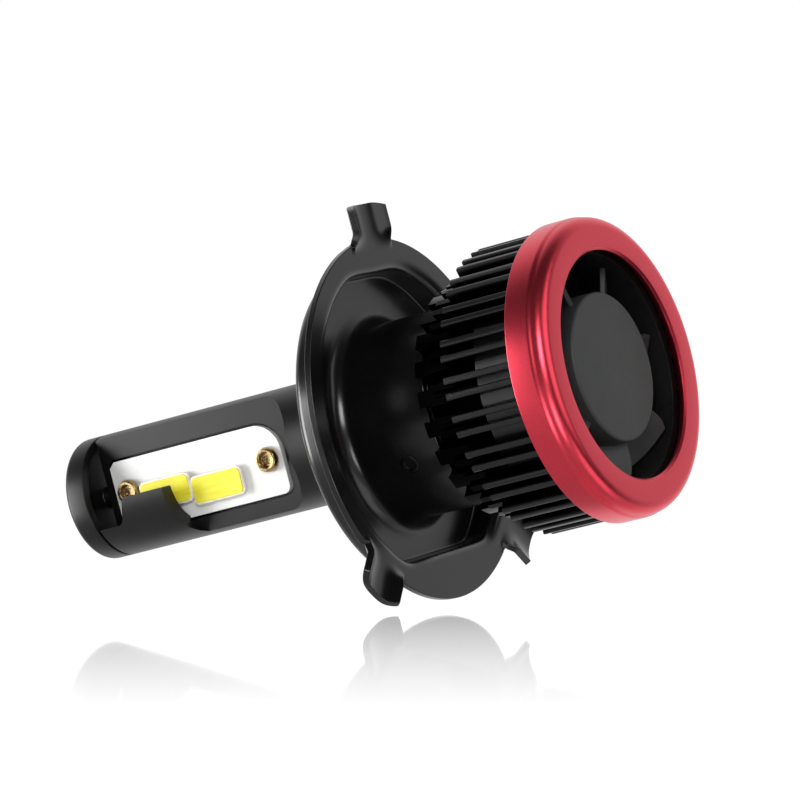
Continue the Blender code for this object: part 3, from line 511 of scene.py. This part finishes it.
# free-cutting brass, slightly tarnished, with fine tool marks
tarnish = speckle(tree, place, 0.5, 4.0)
tint(tree, shader, ("#806d4a", "#b89f72"), tarnish)
vary(tree, shader, "Roughness", tarnish, 0.2, 0.36)


def pad(mesh, box, near, far, corner):
    """Adds a block with rounded corners over (left, right, down, up)."""
    left, right, down, up = box
    block = slab(rounded([(left, down, corner), (right, down, corner), (right, up, corner),
                          (left, up, corner)], steps=8), near, far)
    data = bpy.data.meshes.new("pad")
    block.to_mesh(data)
    block.free()
    mesh.from_mesh(data)
    bpy.data.meshes.remove(data)


BOARD_SCREWS = ((-18.8 * MM, -0.4 * MM), (-39.0 * MM, 0.0))
DAM = 0.19 * MM                # width of the white bead that shows round a chip
for side, sign in SIDES:
    low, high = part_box(f"led_board_{side}")
    near, far = (low.y, high.y) if sign > 0 else (high.y, low.y)
    board = slab(board_outline(0), near, far)
    laminate = make_piece(f"led_board_face_{side}", board, white_mask, "lamp", "white_board",
                          f"led_board_{side}")
    soften_edges(laminate, 0.07 * MM)
    for beam in ("low", "high"):
        low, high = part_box(f"{beam}_beam_chip_{side}")
        near, far = (low.y, high.y) if sign > 0 else (high.y, low.y)
        box = (low.x - DAM, high.x + DAM, low.z - DAM, high.z + DAM)
        bead = bmesh.new()
        pad(bead, box, near, far - sign * 0.12 * MM, 0.7 * MM)
        bead = make_piece(f"{beam}_beam_dam_{side}", bead, silicone_dam, "lamp", "white_board")
        soften_edges(bead, 0.1 * MM, 3)
        glow = bmesh.new()
        box = (low.x, high.x, low.z, high.z)
        pad(glow, box, near, far, 0.6 * MM)
        glow = make_piece(f"{beam}_beam_phosphor_{side}", glow, phosphor, "lamp", "phosphor",
                          f"{beam}_beam_chip_{side}")
        soften_edges(glow, 0.12 * MM, 3)
    for number, (along, up) in enumerate(BOARD_SCREWS, 1):
        head = bmesh.new()
        turned(head, [(3.2 * MM, 0, 0), (3.2 * MM, 0.45 * MM, 0.1 * MM), (3.42 * MM, 0.5 * MM, 0.05 * MM),
                      (3.42 * MM, 0.8 * MM, 0.05 * MM), (3.98 * MM, 0.92 * MM, 0.14 * MM),
                      (3.98 * MM, 1.32 * MM, 0.14 * MM),
                      (3.5 * MM, 1.5 * MM, 0.1 * MM), (3.3 * MM, 1.5 * MM, 0), (3.3 * MM, 0.7 * MM, 0),
                      (1.2 * MM, 0.7 * MM, 0), (1.2 * MM, 0, 0)], 48, closed=False)
        head.transform(Matrix.Translation((along, 0, up)) @ Matrix.Rotation(math.radians(90 * sign), 4, "Z"))
        make_piece(f"board_rivet_screw_{side}_{number}", head, brass, "lamp", "brass",
                   f"board_screw_{side}_{number}")


# ---- Heat sink ----------------------------------------------------------------------------------
# A black anodised extrusion with 24 forked fins, sawn to length and turned in steps: low at the
# flange, full size in the middle, and cut back for the cover ring and for the fan's cavity.
FIN_COUNT = 24
CORE_R = 9.5 * MM
FIN_R = 16.9 * MM

fin_anodised, tree, shader, place = new_material("black_anodised_extrusion", {"Metallic": 0.35})
# dyed oxide over die lines that run along the fins: satin black, with painted shade that darkens the colour
# and the reflection deeper between the fins, so that the turned tips read brighter
lines = add(tree, "Mapping", {"Scale": (0.03, 1.0, 1.0)}, Vector=place).outputs["Vector"]
lines = speckle(tree, lines, 0.3, 3.0)
across = add(tree, "Mapping", {"Scale": (0, 1, 1)}, Vector=place).outputs["Vector"]
radius = add(tree, "VectorMath", {"operation": "LENGTH"})
tree.links.new(across, radius.inputs[0])
# painted shade: from just under the tips inward, the colour turns darker and the reflection weaker, as if
# shade fell between the fins
depth = add(tree, "MapRange", {"From Min": FIN_R - 0.5 * MM, "From Max": FIN_R - 0.05 * MM},
            Value=radius.outputs["Value"])
tint(tree, shader, ("#050505", "#111112"), depth.outputs["Result"], (0.0, 1.0))
vary(tree, shader, "Metallic", depth.outputs["Result"], 1.0, 0.25)
vary(tree, shader, "Roughness", lines, 0.24, 0.36)
emboss(tree, shader, lines, 0.15, 0.006 * MM)


def fin_outline(angle):
    """One forked fin, from its root on one side round both tips to the other root."""
    half = [(9.47, 0.75, 0.3), (12.8, 0.75, 0.4), (14.8, 1.3, 0.8), (16.9, 1.3, 0.22), (16.9, 0.5, 0.22),
            (14.8, 0.5, 0.6), (13.6, 0.14, 0)]
    corners = [(x * MM, -y * MM, r * MM) for x, y, r in half]
    corners += [(x * MM, y * MM, r * MM) for x, y, r in reversed(half)]
    corners[0], corners[-1] = (*corners[0][:2], 0), (*corners[-1][:2], 0)
    turn = Matrix.Rotation(math.radians(angle), 2)
    return [turn @ point for point in rounded(corners, 3)]


pitch = 360 / FIN_COUNT
outline = [point for fin in range(FIN_COUNT) for point in fin_outline(fin * pitch + pitch / 2)]
blank = slab(outline, 9.3 * MM, 27.0 * MM, "yz")
envelope = bmesh.new()
turned(envelope, [(9.2 * MM, 0, 0), (9.2 * MM, 13.5 * MM, 0), (11.7 * MM, 13.5 * MM, 0),
                  (11.7 * MM, 14.5 * MM, 0), (15.0 * MM, 14.5 * MM, 0), (15.0 * MM, 18 * MM, 0),
                  (23.7 * MM, 18 * MM, 0), (23.7 * MM, 16.2 * MM, 0), (27.3 * MM, 16.2 * MM, 0),
                  (27.3 * MM, 14.9 * MM, 0), (17.0 * MM, 14.9 * MM, 0), (17.0 * MM, 0, 0)], 144, closed=False)
bore = bmesh.new()
turned(bore, [(9.0 * MM, 0, 0), (9.0 * MM, 6.3 * MM, 0), (16.0 * MM, 6.3 * MM, 0), (16.0 * MM, 0, 0)], 72,
       closed=False)
low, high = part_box("cable_grommet")
pocket = bmesh.new()
bmesh.ops.create_cube(pocket, size=1.0)
pocket_half = (high.x - low.x) / 2 + GAP
pocket.transform(Matrix.Translation(((low.x + high.x) / 2, CORE_R + 5 * MM, 0))
                 @ Matrix.Diagonal((2 * pocket_half, 10 * MM, 2 * pocket_half, 1)))
sink = machined(blank, ("INTERSECT", envelope), ("DIFFERENCE", bore), ("DIFFERENCE", pocket))
sink = make_piece("finned_sink", sink, fin_anodised, "lamp", "black_anodised", "heat_sink", angle=28)
soften_edges(sink, 0.07 * MM, 2, 35)


# ---- Fan cover ring -----------------------------------------------------------------------------
# A turned aluminium ring, red anodised over a satin finish, pushed on over the fins' ends. Its face
# leaves the fan open, and a fine step runs round it before the rounded shoulder.
RING_R = 17.55 * MM
red_anodised, tree, shader, place = new_material("satin_red_anodised_aluminium", {"Metallic": 1.0})
# red dye in a clear oxide: a metallic glow with very fine turning marks round the ring
blast = speckle(tree, place, 0.25, 4.0)
tint(tree, shader, ("#dd4050", "#e24757"), blast)
vary(tree, shader, "Roughness", blast, 0.29, 0.35)
emboss(tree, shader, blast, 0.08, 0.003 * MM)
ring = bmesh.new()
turned(ring, [(24.0 * MM, 16.5 * MM, 0.1 * MM), (24.0 * MM, RING_R, 0.15 * MM), (27.0 * MM, RING_R, 1.0 * MM),
              (27.5 * MM, RING_R - 0.18 * MM, 1.0 * MM), (28.95 * MM, RING_R - 0.22 * MM, 1.45 * MM),
              (28.95 * MM, 13.58 * MM, 0.06 * MM), (28.7 * MM, 13.32 * MM, 0.06 * MM),
              (28.45 * MM, 13.32 * MM, 0.06 * MM), (27.5 * MM, 14.3 * MM, 0.1 * MM),
              (27.5 * MM, 16.5 * MM, 0)], 256, steps=10)
make_piece("red_cover_ring", ring, red_anodised, "lamp", "red_anodised", "fan_cover_ring", angle=60)


# ---- Fan frame ----------------------------------------------------------------------------------
# The fan's glass-filled nylon moulding: a round shroud, three spokes and the bearing's tower.
black_nylon, tree, shader, place = new_material("glass_filled_black_nylon", {"IOR": 1.53})
# injection moulded: near black with a faint fibre bloom and a satin skin
fibre = speckle(tree, place, 0.35, 4.0)
tint(tree, shader, ("#0b0b0b", "#151515"), fibre)
vary(tree, shader, "Roughness", fibre, 0.3, 0.5)
emboss(tree, shader, fibre, 0.2, 0.01 * MM)
shroud = bmesh.new()
shroud.from_mesh(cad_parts["fan_frame"].data)
bmesh.ops.remove_doubles(shroud, verts=shroud.verts, dist=0.002 * MM)
bmesh.ops.dissolve_limit(shroud, angle_limit=math.radians(0.5), verts=shroud.verts, edges=shroud.edges)
shroud = make_piece("fan_shroud", shroud, black_nylon, "lamp", "black_plastic", "fan_frame", angle=30)
soften_edges(shroud, 0.06 * MM)


# ---- Fan rotor ----------------------------------------------------------------------------------
# A PBT impeller of seven pitched blades on a cup, moulded in dark grey and pressed on its shaft.
HUB_R = 8.75 * MM
HUB_FACE = 27.48 * MM
HUB_BOTTOM = 22.75 * MM
BLADE_COUNT = 7
BLADE_R = 12.65 * MM
BLADE_TOP = 26.85 * MM
BLADE_PITCH = 32
BLADE_THICKNESS = 0.55 * MM
BLADE_PHASE = -2.0             # degrees

dark_pbt, tree, shader, place = new_material("moulded_dark_grey_pbt", {"IOR": 1.55})
# a fine spark-eroded mould texture: dull dark grey with a slight mottle
mottle = speckle(tree, place, 0.3, 4.0)
tint(tree, shader, ("#2c2e2d", "#303231"), speckle(tree, place, 2.5))
vary(tree, shader, "Roughness", mottle, 0.52, 0.62)
emboss(tree, shader, mottle, 0.15, 0.006 * MM)


def blade_place(blade, outward, up):
    """A place on a blade: a helical strip with rounded outer corners."""
    corner = 0.16 * max(outward - 0.55, 0) / 0.45
    up *= 1 - corner * max(outward - 0.55, 0) / 0.45
    radius = HUB_R - 0.5 * MM + (BLADE_R - HUB_R + 0.5 * MM) * outward
    rise = BLADE_TOP - HUB_BOTTOM - BLADE_THICKNESS
    run = up * rise / math.tan(math.radians(BLADE_PITCH))
    angle = BLADE_PHASE + 360 / BLADE_COUNT * blade + math.degrees(run / (HUB_R + BLADE_R) * 2)
    return round_axis((BLADE_TOP + HUB_BOTTOM) / 2 + up * rise, radius, angle)


rotor = bmesh.new()
for blade in range(BLADE_COUNT):
    shaped_grid(rotor, 10, 16, lambda step, row: blade_place(blade, step / 10, row / 16 - 0.5))
bmesh.ops.recalc_face_normals(rotor, faces=rotor.faces)
bmesh.ops.solidify(rotor, geom=rotor.faces[:], thickness=BLADE_THICKNESS)
turned(rotor, [(27.0 * MM, 0, 0), (27.0 * MM, 1.0 * MM, 0), (26.5 * MM, 1.0 * MM, 0),
               (26.5 * MM, 7.75 * MM, 0.3 * MM), (HUB_BOTTOM, 7.75 * MM, 0.1 * MM),
               (HUB_BOTTOM, HUB_R, 0.15 * MM), (HUB_FACE, HUB_R, 0.35 * MM),
               (HUB_FACE, 0, 0)], 144, closed=False)
rotor = make_piece("impeller", rotor, dark_pbt, "rotor", "dark_plastic", "fan_impeller", angle=40)
soften_edges(rotor, 0.08 * MM)


# ---- Motor and driver ---------------------------------------------------------------------------
# The brushless motor inside the hub and the driver board under the fan. Only glints of them show
# between the blades and the fins.
sintered_bronze, tree, shader, place = new_material("sintered_bronze", {"Metallic": 1.0})
# pressed powder soaked in oil: dull brown gold with fine pores
pores = speckle(tree, place, 0.15, 3.0)
tint(tree, shader, ("#5a4123", "#a27c48"), pores)
vary(tree, shader, "Roughness", pores, 0.35, 0.6)
emboss(tree, shader, pores, 0.4, 0.02 * MM)

ferrite, tree, shader, place = new_material("sintered_ferrite", {"IOR": 2.3})
# pressed ceramic: charcoal grey with a fine grain
grains = speckle(tree, place, 0.25, 4.0)
tint(tree, shader, ("#232326", "#323237"), grains)
vary(tree, shader, "Roughness", grains, 0.5, 0.7)
emboss(tree, shader, grains, 0.3, 0.01 * MM)

enamelled_copper, tree, shader, place = new_material("enamelled_copper_wire",
                                                     {"Metallic": 1.0, "Coat Weight": 0.5})
# close turns of 0.2 mm wire under clear enamel
turns = add(tree, "TexWave", {"Scale": 1000 / 0.4 / 20 * math.pi * 2, "bands_direction": "Y"}, Vector=place)
tint(tree, shader, ("#7d3a17", "#c8743d"), turns.outputs["Fac"], (0.2, 0.8))
vary(tree, shader, "Roughness", turns.outputs["Fac"], 0.45, 0.25)
emboss(tree, shader, turns.outputs["Fac"], 0.6, 0.05 * MM)

green_mask, tree, shader, place = new_material("green_solder_mask", {"IOR": 1.55, "Coat Weight": 0.3})
# glass-epoxy board under green ink, with the weave just showing
weave = speckle(tree, place, 0.6, 2.0)
tint(tree, shader, ("#0b3a1c", "#145a2c"), weave)
vary(tree, shader, "Roughness", weave, 0.25, 0.4)
emboss(tree, shader, weave, 0.15, 0.01 * MM)

use_on(sintered_bronze, "fan_bearing")
use_on(ferrite, "rotor_magnet", "driver_inductor")
use_on(enamelled_copper, *[f"stator_coil_{number}" for number in range(1, 5)])
use_on(green_mask, "driver_board", "fan_circuit_board")
use_on(black_nylon, "driver_chip")
use_on(zinc, "rotor_yoke", "stator_core", "fan_shaft", "driver_capacitor",
       *[f"fan_screw_{number}" for number in range(1, 4)])


# ---- Cable grommet ------------------------------------------------------------------------------
# A moulded rubber bush between two fins on the far side, where the cord enters.
low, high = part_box("cable_grommet")
bush = bmesh.new()
turned(bush, [(high.y, 1.3 * MM, 0.15 * MM), (high.y, 2.3 * MM, 0.35 * MM),
              (high.y - 1.5 * MM, 2.3 * MM, 0.15 * MM),
              (high.y - 1.5 * MM, 1.7 * MM, 0), (low.y, 1.7 * MM, 0), (low.y, 1.3 * MM, 0)], 48)
bush.transform(pointing(0, (low.x + high.x) / 2))
make_piece("cord_bush", bush, nitrile, "lamp", "rubber", "cable_grommet")


# ---- Studio -------------------------------------------------------------------------------------
# The bulb hangs just over a backlit white acrylic sheet, which mirrors it faintly near the front,
# in front of a white background. Soft boxes light it from the left, the right and above the front.
AZIMUTH = 31.1
ROLL = -14.56
DISTANCE = 0.5924
FLOOR_DROP = 21.95 * MM
FLOOR_HALF_WIDTH, FLOOR_BACK, FLOOR_FRONT, FLOOR_SPAN = 0.058, 0.05, -0.3, 0.9
azimuth, roll = math.radians(AZIMUTH), math.radians(ROLL)
back = Vector((math.sin(azimuth), -math.cos(azimuth), 0))
side_on, upright = Vector((math.cos(azimuth), math.sin(azimuth), 0)), Vector((0, 0, 1))
right = math.cos(roll) * side_on + math.sin(roll) * upright
up = -math.sin(roll) * side_on + math.cos(roll) * upright
view = Matrix((right, up, back)).transposed().to_4x4()

camera = bpy.data.objects.new("camera", bpy.data.cameras.new("camera"))
camera.data.lens = 229.1
camera.data.sensor_width = 36
camera.data.shift_x = -0.01675
camera.data.shift_y = 0.02287
camera.data.clip_start = 0.01
camera.matrix_world = Matrix.Translation(back * DISTANCE) @ view
bpy.context.scene.collection.objects.link(camera)
bpy.context.scene.camera = camera
bpy.context.scene.view_settings.view_transform = "Standard"

world = bpy.data.worlds.new("white_studio")
world.use_nodes = True
bpy.context.scene.world = world
tree = world.node_tree
ray = add(tree, "LightPath").outputs["Is Camera Ray"]
toward = add(tree, "TexCoord").outputs["Generated"]
behind = add(tree, "VectorMath", {"operation": "DOT_PRODUCT"})
tree.links.new(toward, behind.inputs[0])
behind.inputs[1].default_value = -back
sweep = add(tree, "MapRange", {"From Min": 0.15, "From Max": 0.6, "To Min": 0.055, "To Max": 0.95},
            Value=behind.outputs["Value"]).outputs["Result"]
level = add(tree, "Mix", Factor=ray)
tree.links.new(sweep, level.inputs[2])
level.inputs[3].default_value = 1.02
tree.links.new(level.outputs[0], tree.nodes["Background"].inputs["Strength"])
tree.nodes["Background"].inputs["Color"].default_value = (1, 1, 1, 1)


def soft_box(name, azimuth, elevation, distance, width, height, power):
    """A rectangular soft box that looks at the bulb; azimuth is measured from the camera's side."""
    turn = math.radians(AZIMUTH + azimuth)
    lift = math.radians(elevation)
    toward = Vector((math.sin(turn) * math.cos(lift), -math.cos(turn) * math.cos(lift), math.sin(lift)))
    place = toward * distance
    lamp = bpy.data.lights.new(name, "AREA")
    lamp.shape, lamp.size, lamp.size_y, lamp.energy = "RECTANGLE", width, height, power
    box = bpy.data.objects.new(name, lamp)
    box.matrix_world = Matrix.Translation(place) @ place.to_track_quat("Z", "Y").to_matrix().to_4x4()
    bpy.context.scene.collection.objects.link(box)


soft_box("left_box", -88, -4, 0.5, 0.26, 0.6, 6.0)
soft_box("right_box", 66, 10, 0.6, 0.45, 0.5, 1.1)
soft_box("front_box", 2, 22, 0.6, 0.22, 0.22, 1.7)

acrylic = bpy.data.materials.new("backlit_white_acrylic")
acrylic.use_nodes = True
tree = acrylic.node_tree
tree.nodes.clear()
lit = add(tree, "Emission", {"Color": (1, 1, 1, 1), "Strength": 1.25})
mirror = add(tree, "BsdfGlossy", {"Color": (1, 1, 1, 1), "Roughness": 0.03})
forward = add(tree, "SeparateXYZ", Vector=add(tree, "TexCoord").outputs["UV"])
fade = add(tree, "MapRange", {"From Min": 0.54, "From Max": 0.8, "To Min": 0.64, "To Max": 0.02},
           Value=forward.outputs["Y"])
blend = add(tree, "MixShader", Fac=fade.outputs["Result"])
tree.links.new(lit.outputs[0], blend.inputs[1])
tree.links.new(mirror.outputs[0], blend.inputs[2])
tree.links.new(blend.outputs[0], add(tree, "OutputMaterial").inputs["Surface"])
floor = bmesh.new()
layer = floor.loops.layers.uv.new("sheet")
bmesh.ops.create_grid(floor, x_segments=1, y_segments=1, size=1.0, calc_uvs=True)
# a narrow sheet that runs toward the camera, so that it hides less of the bulb from other sides
for corner in floor.verts:
    corner.co.x *= FLOOR_HALF_WIDTH
    corner.co.y = FLOOR_BACK if corner.co.y > 0 else FLOOR_FRONT
for face in floor.faces:
    for loop in face.loops:
        loop[layer].uv = (loop.vert.co.x / FLOOR_SPAN + 0.5, 0.5 - loop.vert.co.y / FLOOR_SPAN)
floor_data = bpy.data.meshes.new("floor")
floor.to_mesh(floor_data)
floor.free()
floor_data.materials.append(acrylic)
floor = bpy.data.objects.new("floor", floor_data)
ground = Matrix((right, -back, up)).transposed().to_4x4()
floor.matrix_world = Matrix.Translation(-up * FLOOR_DROP) @ ground
bpy.context.scene.collection.objects.link(floor)
